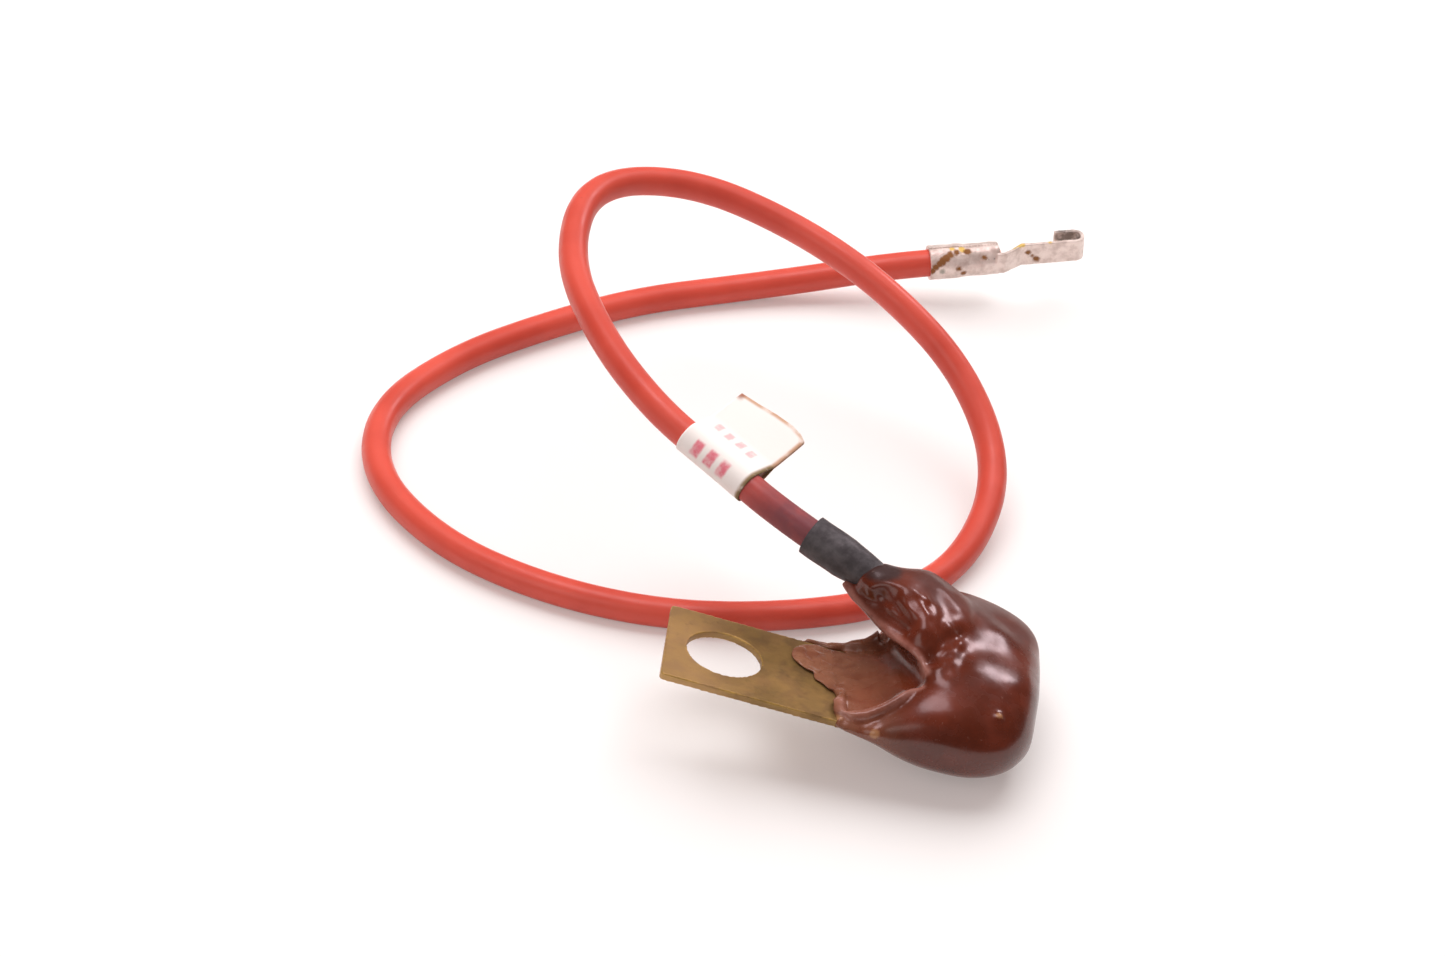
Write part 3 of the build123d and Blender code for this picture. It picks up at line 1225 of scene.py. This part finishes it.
@dataclass
class CrimpTerminal:
    """The folded crimp terminal with its hook; its waves, dents and lifts are in millimetres."""

    voxel: float = 0.07 * MM
    rounds: int = 3
    waves: Waves = ((1.1, 3.1, 0.035), (0.45, 8.7, 0.015))
    dents: Bumps = (
        ((7.1, 66.4, 5.6), 0.9, 0.16), ((8.9, 66.7, 5.2), 0.8, 0.2), ((5.5, 66.1, 4.2), 0.8, 0.1),
        ((9.8, 67.2, 6.6), 0.7, 0.14), ((15.0, 69.6, 5.2), 0.9, 0.08), ((17.4, 70.2, 5.6), 0.8, 0.08),
    )
    lifts: Bumps = (((10.9, 67.6, 6.9), 0.7, 0.28), ((5.0, 66.6, 6.6), 0.7, 0.14))

    def build(self) -> bpy.types.Object:
        """Soften the folded sheet, dent it from the near side and lift its edge.

        Returns:
            The terminal.
        """
        terminal = solid_copy("crimp_terminal", "crimp_terminal_sheet")
        remesh(terminal, self.voxel, self.rounds)
        places, normals = read_points(terminal)
        moved = places + normals * ripples(places, self.waves)[:, None]
        for axis, bumps in ((1, self.dents), (2, self.lifts)):
            for centre, radius, height in bumps:
                moved[:, axis] += height * spot_bell(places, centre, radius)
        write_points(terminal, moved)
        dress(terminal, TinnedBrass().material(), "tinned_brass")
        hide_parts("crimp_terminal")
        return terminal


@dataclass
class RatingFlag:
    """The paper flag, wrapped round the wire with its leaves stuck together.

    middle and thickness are shares of paper, and swell gives how far the leaves' end bulges, in millimetres.
    """

    width: float = 7.6 * MM
    back_from_fuse: float = 18.4 * MM
    wire_r: float = 1.4 * MM
    paper: float = 0.15 * MM
    middle: float = 0.55
    thickness: float = 0.9
    fold_at: float = 3.3 * MM
    depth: float = 6.0 * MM
    lean: float = 10.0
    curl: float = 0.35 * MM
    uncurled: float = 0.4
    rows: int = 44
    leaf_steps: int = 13
    turn_steps: int = 28
    swell: tuple[tuple[float, float], ...] = (
        (0.0, 0.0), (0.25, 0.2), (0.5, 0.5), (0.75, 0.62), (0.9, 0.4), (1.0, 0.0),
    )

    def _profile(self, share: float) -> list[tuple[float, float]]:
        """The paper's middle line across the wire, from one leaf's end to the other's.

        Args:
            share: How far along the flag's width, 0 to 1.

        Returns:
            Points across and upward, in metres.
        """
        places, bulges = zip(*self.swell)
        end = self.wire_r + self.depth + float(np.interp(share, places, bulges)) * MM
        leaf = self.paper * self.middle
        radius = self.wire_r + leaf
        touch = math.acos(radius / self.fold_at)
        upper = []
        for step in range(self.leaf_steps + 1):
            x = end + (self.fold_at - end) * step / self.leaf_steps
            away = (x - self.fold_at) / (end - self.fold_at)
            upper.append((x, leaf + self.curl * (share - self.uncurled) * away**2))
        turn = []
        for step in range(self.turn_steps + 1):
            angle = touch + (2 * math.pi - 2 * touch) * step / self.turn_steps
            turn.append((radius * math.cos(angle), radius * math.sin(angle)))
        lower = [(x, y - 2 * leaf) for x, y in reversed(upper)]
        return upper + turn + lower

    def build(self, path: WirePath) -> bpy.types.Object:
        """Wrap the paper, and store on it where each mark and stain goes.

        Args:
            path: The wire's centreline.

        Returns:
            The flag.
        """
        cos, sin = math.cos(math.radians(self.lean)), math.sin(math.radians(self.lean))
        points: list[Vector] = []
        values: dict[str, list[float]] = {"flag_u": [], "flag_v": [], "flag_rim": []}
        for row in range(self.rows):
            share = row / (self.rows - 1)
            outline = self._profile(share)
            turned = [(x * cos - y * sin, x * sin + y * cos) for x, y in outline]
            points += path.ring(path.length - self.back_from_fuse + self.width * share, turned)
            end = max(x for x, _ in outline)
            steps = [math.dist(first, second) for first, second in zip(outline, outline[1:])]
            reach = np.concatenate(([0.0], np.cumsum(steps)))
            crown = reach[max(range(len(outline)), key=lambda i: outline[i][1])]
            for (x, _), run in zip(outline, reach):
                values["flag_u"].append(share * self.width / MM)
                values["flag_v"].append((crown - run) / MM)
                values["flag_rim"].append(min(end - x, self.width * (1 - share)) / MM)
        columns = len(points) // self.rows
        faces = []
        for row in range(self.rows - 1):
            for column in range(columns - 1):
                corner = row * columns + column
                faces.append([corner, corner + 1, corner + columns + 1, corner + columns])
        flag = mesh_piece("rating_flag_paper", points, faces)
        for name, numbers in values.items():
            write_value(flag, name, np.array(numbers))
        sheet = flag.modifiers.new("thickness", "SOLIDIFY")
        sheet.thickness = self.paper * self.thickness
        sheet.offset = 0.0
        bake_modifiers(flag)
        dress(flag, FlagPaper().material(), "white_paper")
        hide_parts("rating_flag")
        return flag


@dataclass
class ShrinkSleeve:
    """The shrink tube over the jacket's end and the bare core.

    Each wave in its skin has a pace along it and round it, a shift and a height in millimetres.
    """

    wall: float = 0.45 * MM
    inner_wall: float = 0.75
    on_jacket: float = 3.6 * MM
    on_core: float = 5.4 * MM
    taper: float = 4.6 * MM
    jacket_r: float = 1.4 * MM
    core_r: float = 0.9 * MM
    sides: int = 72
    rings: int = 90
    waves: tuple[tuple[float, float, float, float], ...] = ((0.55, 1.7, 0.0, 0.07), (0.2, 1.0, 9.0, 0.08))

    def _radius(self, distance: float, angle: float) -> float:
        """The tube's outer radius.

        Args:
            distance: Metres past the jacket's end.
            angle: The place round the tube.

        Returns:
            The radius in metres.
        """
        share = min(max(distance / self.taper, 0.0), 1.0)
        radius = self.jacket_r + self.wall + (self.core_r - self.jacket_r) * share
        for along, round_it, shift, height in self.waves:
            place = (distance / MM * along + shift, math.cos(angle) * round_it, math.sin(angle) * round_it)
            radius += height * MM * noise.noise(Vector(place))
        return radius

    def build(self, path: WirePath) -> bpy.types.Object:
        """Shrink the tube on, with a rim that turns in to the jacket.

        Args:
            path: The wire's centreline.

        Returns:
            The sleeve.
        """
        points: list[Vector] = []
        length = self.on_core + self.on_jacket
        stations = [-self.on_jacket + length * i / (self.rings - 1) for i in range(self.rings)]
        rim = [(stations[0], self.jacket_r), (stations[0], self.jacket_r + self.wall * self.inner_wall)]
        for distance, fixed in rim + [(station, None) for station in stations]:
            outline = []
            for side in range(self.sides):
                angle = 2 * math.pi * side / self.sides
                radius = fixed or self._radius(distance, angle)
                outline.append((radius * math.cos(angle), radius * math.sin(angle)))
            points += path.ring(path.length + distance, outline)
        faces = ring_faces(len(points) // self.sides, self.sides)
        faces.append(list(range(len(points) - self.sides, len(points))))
        sleeve = mesh_piece("heat_shrink_tube", points, faces)
        dress(sleeve, ShrinkPlastic().material(), "black_shrink")
        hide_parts("heat_shrink_sleeve")
        return sleeve


@dataclass
class LacquerBody:
    """The dipped lacquer: lumps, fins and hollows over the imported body, in millimetres but for voxel."""

    voxel: float = 0.16 * MM
    buried: tuple[str, ...] = (
        "mounting_lug", "heat_shrink_sleeve", "wire_conductor", "conductor_joint", "lug_joint", "fuse_link",
    )
    fin: Line = (
        (-2.0, 4.4, 10.6), (-1.0, 3.1, 10.1), (0.1, 2.1, 9.8), (1.3, 0.9, 9.6), (2.5, -0.5, 9.6),
        (3.7, -1.8, 9.7), (4.7, -2.8, 9.7), (5.4, -3.6, 9.4), (5.9, -4.7, 9.2), (6.3, -6.0, 9.0),
    )
    fin_root: Line = (
        (-0.9, 5.6, 11.7), (0.2, 5.0, 11.4), (1.3, 4.2, 11.0), (2.5, 3.3, 10.5), (3.6, 2.2, 9.8),
        (4.7, 1.0, 9.1), (5.8, -0.1, 8.6), (6.4, -1.4, 8.3), (6.8, -3.0, 8.0), (7.0, -5.0, 7.9),
    )
    fin_r: tuple[float, ...] = (0.24, 0.3, 0.34, 0.38, 0.4, 0.42, 0.42, 0.38, 0.32, 0.2)
    lip: Line = (
        (-1.1, -5.6, 6.7), (-1.2, -7.5, 7.0), (-1.0, -9.1, 7.1), (-0.2, -9.4, 7.1), (1.1, -9.1, 7.2),
        (2.4, -8.5, 7.6), (3.4, -7.9, 8.1), (4.2, -7.2, 8.5), (4.9, -6.5, 8.8), (5.5, -6.1, 8.9),
    )
    lip_r: tuple[float, ...] = (0.26, 0.42, 0.5, 0.54, 0.56, 0.56, 0.54, 0.5, 0.4, 0.25)
    far_web: Line = ((-5.2, 1.5, 5.7), (-3.1, 1.6, 5.4), (-1.0, 2.0, 5.2), (0.8, 2.4, 5.4), (2.2, 2.9, 6.0))
    far_web_r: tuple[float, ...] = (0.2, 0.35, 0.5, 0.7, 1.1)
    melted: Bumps = (
        ((7.4, 3.4, 10.4), 3.4, 1.0), ((6.8, 0.6, 10.2), 1.9, 0.9), ((8.0, -1.0, 9.3), 2.2, 0.9),
        ((-3.5, -1.5, 6.4), 3.0, 0.25), ((3.2, -4.4, 7.9), 2.4, 0.5), ((1.4, 2.2, 12.1), 1.9, 0.9),
        ((0.4, 2.2, 11.2), 1.5, 0.85),
    )
    web_thick: float = 0.5
    fuse_rounds: int = 5
    melt_rounds: int = 300
    last_rounds: int = 3
    waves: Waves = ((2.6, 1.7, 0.04), (5.5, 4.4, 0.12))
    tongue_end: float = 0.5
    tongue_fade: float = 2.0
    tongue_top: float = 9.0
    tongue_waves: Waves = ((0.8, 6.2, 0.14),)
    tongue_sway: Waves = ((1.1, 8.1, 0.5), (1.1, 2.9, 0.5))
    rough_width: float = 1.8
    rough_waves: Waves = ((1.0, 3.3, 0.2),)
    thin_run: Line = ((5.5, -2.0, 7.5), (-7.0, -2.0, 5.0))
    thin_top: float = 9.5
    thin_fade: float = 2.0
    rim_highlight_width: float = 0.5
    rough_line: Line = ((3.0, 1.4, 12.0), (5.4, 0.6, 11.4), (7.2, -1.0, 10.2), (7.4, -3.6, 9.6))
    grooves: Folds = (
        (
            ((1.9, 2.4, 6.1), (2.9, -0.3, 7.3), (3.7, -2.4, 8.1), (4.6, -4.3, 8.6), (5.1, -5.5, 8.7)),
            -0.7, 1.0,
        ),
        (((1.3, 1.6, 11.7), (2.2, 0.9, 11.8), (3.0, 0.1, 11.6), (3.9, -0.7, 11.2)), -0.6, 0.85),
        (((0.3, 2.7, 10.8), (1.4, 1.4, 10.7), (2.5, 0.1, 10.6), (3.6, -1.0, 10.5)), -0.45, 0.5),
        (((4.6, 1.4, 12.0), (5.3, 0.4, 11.4), (5.9, -0.2, 10.8)), -0.2, 0.5),
    )
    ridges: Folds = (
        (
            ((0.5, 2.6, 11.9), (1.6, 2.6, 12.6), (2.9, 2.5, 12.7), (4.0, 2.1, 12.5), (5.2, 2.0, 11.8)),
            0.22, 0.5,
        ),
        (((6.4, 4.2, 10.5), (6.9, 3.4, 10.2), (7.3, 2.8, 9.9)), 0.3, 0.7),
        (((8.4, -1.2, 9.3), (7.5, -3.1, 9.3), (6.8, -4.6, 9.2)), 0.3, 0.9),
    )
    blobs: Bumps = (
        ((12.6, -7.7, 7.8), 0.45, 0.28), ((2.1, -10.4, 6.5), 0.6, 0.25), ((12.4, 2.4, 8.3), 2.0, 0.45),
        ((8.9, 4.4, 9.8), 2.2, 0.7), ((8.9, 1.4, 9.6), 2.0, 0.6), ((6.0, 2.6, 11.8), 1.8, -0.3),
        ((5.5, -1.1, 10.7), 0.6, 0.22), ((8.6, 0.2, 9.8), 0.5, -0.25), ((7.2, 0.0, 10.4), 0.6, 0.2),
        ((2.7, -5.4, 7.6), 2.2, -0.35), ((9.0, 6.5, 8.8), 2.0, 0.2), ((14.6, -2.0, 7.2), 2.4, 0.2),
        ((10.8, -3.4, 9.2), 3.4, 0.45), ((9.6, -9.8, 6.8), 2.2, 0.15),
    )

    def _melt(self, lump: bpy.types.Object) -> None:
        """Smooth the places where the lacquer ran together.

        Args:
            lump: The lacquer body.
        """
        places, _ = read_points(lump)
        weights = np.zeros(len(places))
        for centre, radius, share in self.melted:
            weights = np.maximum(weights, share * spot_bell(places, centre, radius))
        soften(lump, self.melt_rounds, weights)

    def _sculpt(self, lump: bpy.types.Object) -> None:
        """Push in the grooves and hollows, and raise the ridges, lumps and the tongue's ragged skin.

        Args:
            lump: The lacquer body.
        """
        places, normals = read_points(lump)
        push = ripples(places, self.waves)
        for line, height, width in self.grooves + self.ridges:
            push += height * bell(line_distance(places, line), width)
        for centre, radius, height in self.blobs:
            push += height * spot_bell(places, centre, radius)
        tongue = np.clip((self.tongue_end - places[:, 0]) / self.tongue_fade, 0, 1)
        tongue *= np.clip(self.tongue_top - places[:, 2], 0, 1)
        push += tongue * ripples(places, self.tongue_waves)
        rough = bell(line_distance(places, self.rough_line), self.rough_width)
        push += rough * ripples(places, self.rough_waves)
        moved = places + normals * push[:, None]
        for axis, wave in enumerate(self.tongue_sway):
            moved[:, axis] += tongue * ripples(places, (wave,))
        moved[:, 2] = np.maximum(moved[:, 2], 0.0)
        write_points(lump, moved)
        soften(lump, self.last_rounds)

    def _mark(self, lump: bpy.types.Object) -> None:
        """Store where the lacquer is thin over the lug, and where its raised rims are, which are coloured
        paler, partly as a painted highlight.

        Args:
            lump: The lacquer body.
        """
        places, _ = read_points(lump)
        low = np.clip((self.thin_top - places[:, 2]) / self.thin_fade, 0, 1)
        write_value(lump, "thin", run_share(places, self.thin_run) * low)
        # The rims along the fin and lip are coloured paler, partly as a painted highlight.
        rims = np.minimum(line_distance(places, self.fin[:-1]), line_distance(places, self.lip[1:]))
        write_value(lump, "rim", np.exp(-((rims / self.rim_highlight_width) ** 4)))

    def build(self) -> bpy.types.Object:
        """Fuse, soften and sculpt the lacquer.

        Returns:
            The lacquer body.
        """
        lump = solid_copy("dipped_coating", "dipped_lacquer", self.buried)
        join_into(lump, *rod_shell(self.fin, self.fin_r))
        join_into(lump, *web_shell(self.fin, self.fin_root, self.web_thick))
        join_into(lump, *rod_shell(self.lip, self.lip_r))
        join_into(lump, *rod_shell(self.far_web, self.far_web_r))
        remesh(lump, self.voxel, self.fuse_rounds)
        self._melt(lump)
        self._sculpt(lump)
        self._mark(lump)
        dress(lump, BrownLacquer().material(), "brown_lacquer")
        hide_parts("dipped_coating")
        return lump


@dataclass
class MountingLug:
    """The brass strip with its screw hole."""

    voxel: float = 0.11 * MM
    rounds: int = 2
    full_turn: float = 0.12

    def build(self) -> bpy.types.Object:
        """Ease the strip's edges and mark them to be coloured brighter.

        Returns:
            The lug.
        """
        lug = solid_copy("mounting_lug", "mounting_lug_strip")
        remesh(lug, self.voxel, self.rounds)
        self._mark_edges(lug)
        dress(lug, TarnishedBrass().material(), "tarnished_brass")
        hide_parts("mounting_lug")
        return lug

    def _mark_edges(self, lug: bpy.types.Object) -> None:
        """Store 1 where the surface turns at an edge, 0 on the flats and the cut sides.

        Args:
            lug: The lug.
        """
        _, normals = read_points(lug)
        lean = normals @ normals[np.argmax(normals[:, 2])]
        square = np.maximum(np.abs(lean), np.sqrt(np.maximum(0.0, 1 - lean**2)))
        write_value(lug, "edge", np.clip((1 - square) / self.full_turn, 0, 1))


@dataclass
class BuriedPieces:
    """The solder and the fuse wire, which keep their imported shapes."""

    solder: tuple[str, ...] = ("terminal_solder", "conductor_joint", "lug_joint")

    def dress(self) -> None:
        """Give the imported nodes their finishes."""
        tin = SolderTin().material()
        for name in self.solder:
            paint(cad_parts[name], tin)
            log.info("%s dressed as solder", name)
        paint(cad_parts["fuse_link"], LinkAlloy().material())
        log.info("fuse_link dressed as fuse_alloy")


@dataclass(frozen=True)
class Lamp:
    """A soft square lamp: its place and side in metres, its power in watts."""

    name: str
    place: Point
    size: float
    power: float
    colour: Point
    seen: Seen

    def hang(self, aim: Point) -> None:
        """Hang the lamp.

        Args:
            aim: The point that it is turned to, in metres.
        """
        data = bpy.data.lights.new(self.name, "AREA")
        data.shape = "SQUARE"
        data.size = self.size
        data.energy = self.power
        data.color = self.colour
        lamp = add_object(self.name, data)
        way = Vector(aim) - Vector(self.place)
        lamp.matrix_world = Matrix.Translation(self.place) @ way.to_track_quat("-Z", "Y").to_matrix().to_4x4()
        lamp.visible_glossy = self.seen is not Seen.SOFT
        lamp.visible_diffuse = self.seen is not Seen.MIRRORED


@dataclass
class Studio:
    """The table, the soft lights and the camera."""

    camera_at: Point = (-13.9 * MM, -247.4 * MM, 212.907 * MM)
    elevation: float = 37.42
    roll: float = 7.91
    lens: float = 90.7
    sensor: float = 36.0
    clip_start: float = 0.01
    table_half: float = 1.5
    aim: Point = (-0.01, 0.03, 0.005)
    lamps: tuple[Lamp, ...] = (
        Lamp("key_lamp", (-0.05, 0.42, 0.62), 0.9, 8.0, (1.0, 1.0, 1.0), Seen.SOFT),
        Lamp("window_lamp", (0.345, 0.515, 0.39), 0.15, 0.85, (1.0, 0.82, 0.87), Seen.MIRRORED),
        Lamp("overhead_lamp", (-0.05, 0.14, 0.72), 0.3, 1.3, (1.0, 0.82, 0.87), Seen.MIRRORED),
        Lamp("fill_lamp", (-0.35, -0.5, 0.5), 0.5, 1.1, (1.0, 0.92, 0.9), Seen.BOTH),
    )
    sky: float = 0.36
    mirrored_sky: float = 0.12
    sky_colour: Colour = (1.0, 0.83, 0.79, 1.0)
    blank: Colour = (1.0, 1.0, 1.0, 1.0)

    def build_table(self) -> None:
        """Lay the table."""
        half = self.table_half
        corners = ((-half, -half, 0), (half, -half, 0), (half, half, 0), (-half, half, 0))
        table = mesh_piece("table", [Vector(corner) for corner in corners], [[0, 1, 2, 3]])
        table.data.materials.append(TableTop().material())

    def build_camera(self) -> None:
        """Set the camera at the photograph's angle."""
        pitch, roll = math.radians(self.elevation), math.radians(self.roll)
        forward = Vector((0, math.cos(pitch), -math.sin(pitch)))
        level_up = Vector((0, math.sin(pitch), math.cos(pitch)))
        right = Vector((1, 0, 0)) * math.cos(roll) + level_up * math.sin(roll)
        upward = level_up * math.cos(roll) - Vector((1, 0, 0)) * math.sin(roll)
        data = bpy.data.cameras.new("camera")
        data.lens = self.lens
        data.sensor_width = self.sensor
        data.clip_start = self.clip_start
        camera = add_object("camera", data)
        turn = Matrix((right, upward, -forward)).transposed().to_4x4()
        camera.matrix_world = Matrix.Translation(self.camera_at) @ turn
        bpy.context.scene.camera = camera

    def build_sky(self) -> None:
        """Set the sky: plain white to the camera, and darker in reflections than as light."""
        g = Graph(bpy.data.worlds.new("sky"))
        strength = g.is_ray(Ray.GLOSSY) * (self.mirrored_sky - self.sky) + self.sky
        sky = g.add("ShaderNodeBackground", None, {"Color": self.sky_colour, "Strength": strength})
        blank = g.add("ShaderNodeBackground", None, {"Color": self.blank})
        shown = g.add("ShaderNodeMixShader", None, {"Fac": g.is_ray(Ray.CAMERA), 1: sky, 2: blank})
        g.add("ShaderNodeOutputWorld", None, {"Surface": shown})
        bpy.context.scene.world = g.owner
        bpy.context.scene.view_settings.view_transform = "Standard"

    def build(self) -> None:
        """Set up the whole studio."""
        self.build_table()
        self.build_camera()
        for lamp in self.lamps:
            lamp.hang(self.aim)
        self.build_sky()
        log.info("studio ready")


def main() -> None:
    """Build every piece in order."""
    logging.basicConfig(level=logging.INFO, format="%(message)s")
    Studio().build()
    wire = WireLead()
    path = wire.path()
    jacket = wire.build_jacket()
    core = wire.build_core(path)
    terminal = CrimpTerminal().build()
    flag = RatingFlag().build(path)
    ShrinkSleeve().build(path)
    MountingLug().build()
    LacquerBody().build()
    BuriedPieces().dress()
    log.info("wire length %.1f mm", path.length / MM)


if __name__ == "__main__":
    main()
